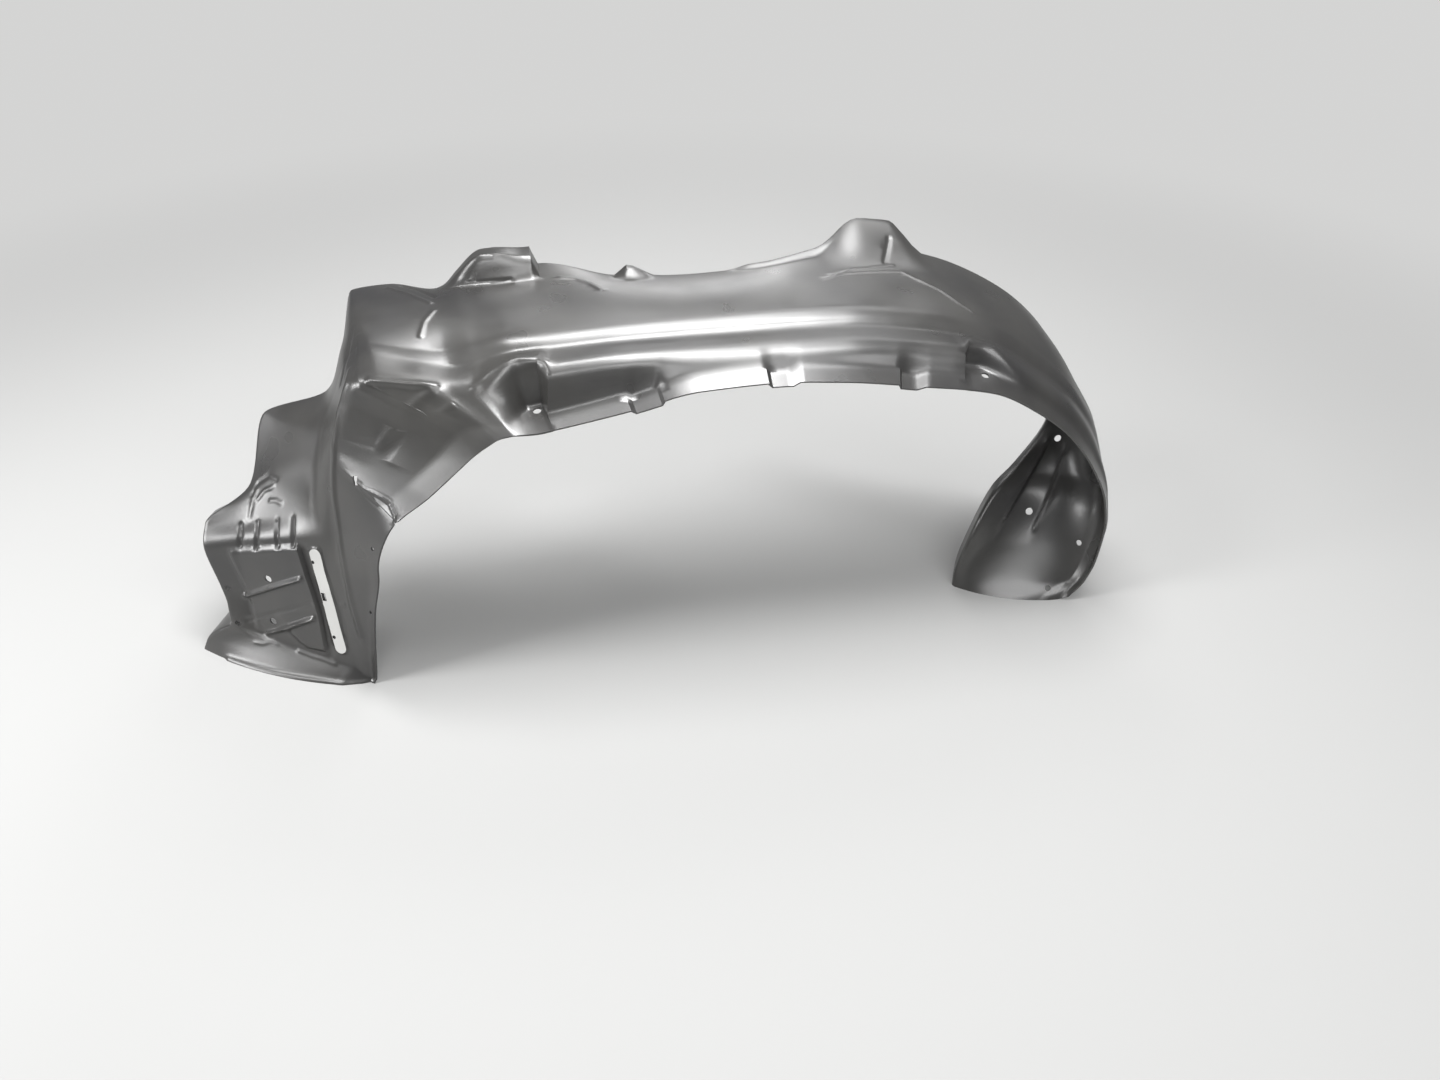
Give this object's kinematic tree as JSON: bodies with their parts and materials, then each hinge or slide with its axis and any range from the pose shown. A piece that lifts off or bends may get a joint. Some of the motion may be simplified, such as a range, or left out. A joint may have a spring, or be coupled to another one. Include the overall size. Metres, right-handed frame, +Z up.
{
  "type": "wheel arch liner",
  "caption": "Moulded plastic front wheel arch liner: one thin curved shell with a fender flange, stepped ridges, clip pockets, a turret, fixing tabs and a ribbed front foot panel.",
  "frame": {"origin": "middle of the bounding box in plan, on the floor that both feet stand on", "axes": "+X along the car towards its rear, +Y inboard, away from the fender lip, +Z up"},
  "size_m": [0.9776, 0.2434, 0.3727],
  "materials": {
    "black_plastic": "semi-matt moulded black"
  },
  "bodies": {
    "root": {"liner": "black_plastic"}
  },
  "joints": []
}
